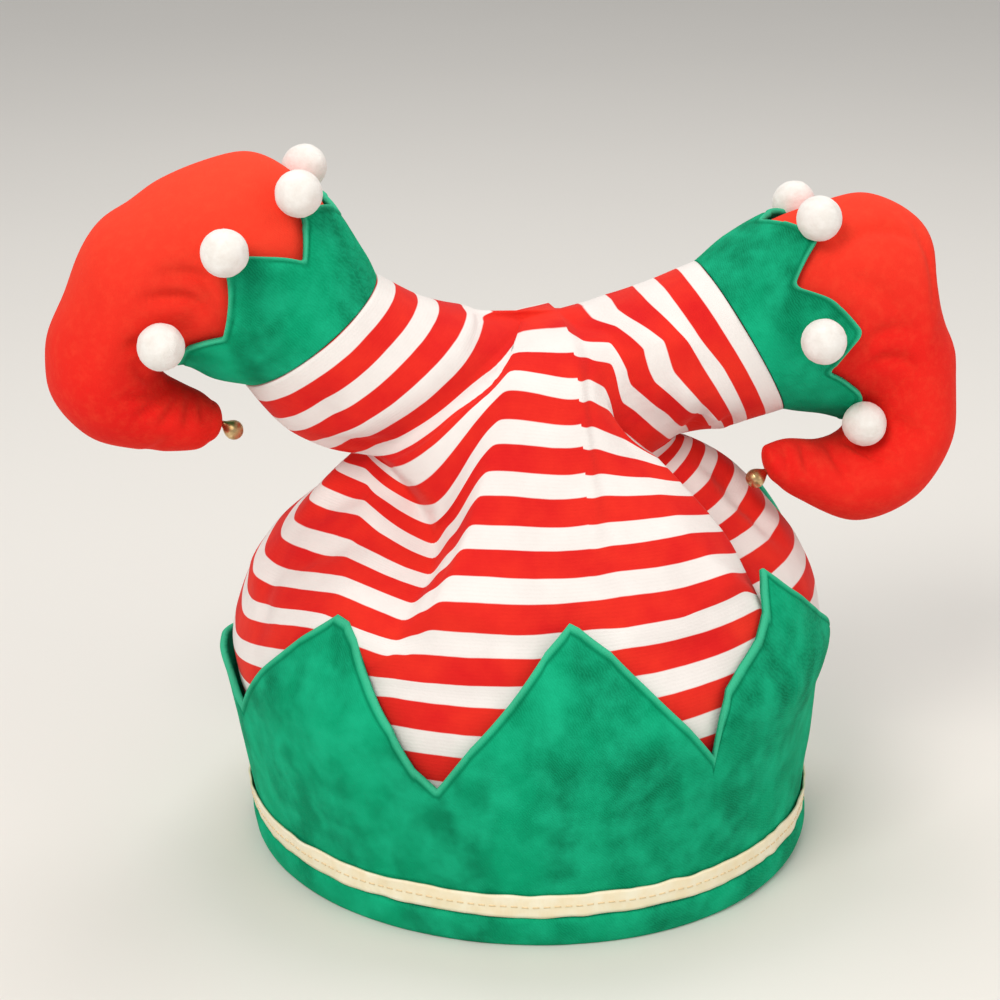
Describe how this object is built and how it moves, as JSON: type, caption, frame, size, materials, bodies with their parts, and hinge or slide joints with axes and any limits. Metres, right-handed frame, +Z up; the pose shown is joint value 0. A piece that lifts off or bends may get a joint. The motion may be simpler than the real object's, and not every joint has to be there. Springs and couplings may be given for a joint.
{
  "type": "elf legs hat",
  "caption": "Novelty hat shaped like striped elf trousers upside down, with a zigzag velvet band and two stuffed legs that end in curled bell-toed shoes",
  "frame": {"origin": "middle of the overall box, on the plane the hem rests on", "axes": "+X towards the wearer's left across the two shoes, -Y the front, +Z up"},
  "size_m": [0.3158, 0.2164, 0.2491],
  "materials": {
    "striped_cloth": "soft brushed cloth with even red and white stripes",
    "green_velvet": "short-pile velvet, doubled",
    "gold_satin": "satin ribbon",
    "red_plush": "short-pile plush, stuffed",
    "white_foam": "soft foam balls, matt",
    "brass": "satin brass"
  },
  "bodies": {
    "root": {"trousers": "striped_cloth", "band": "green_velvet", "ribbon": "gold_satin", "shoe_left": "red_plush", "shoe_cuff_left": "green_velvet", "ball_left_1": "white_foam", "ball_left_2": "white_foam", "ball_left_3": "white_foam", "ball_left_4": "white_foam", "ball_left_5": "white_foam", "ball_left_6": "white_foam", "bell_left": "brass", "shoe_right": "red_plush", "shoe_cuff_right": "green_velvet", "ball_right_1": "white_foam", "ball_right_2": "white_foam", "ball_right_3": "white_foam", "ball_right_4": "white_foam", "ball_right_5": "white_foam", "ball_right_6": "white_foam", "bell_right": "brass"}
  },
  "joints": []
}
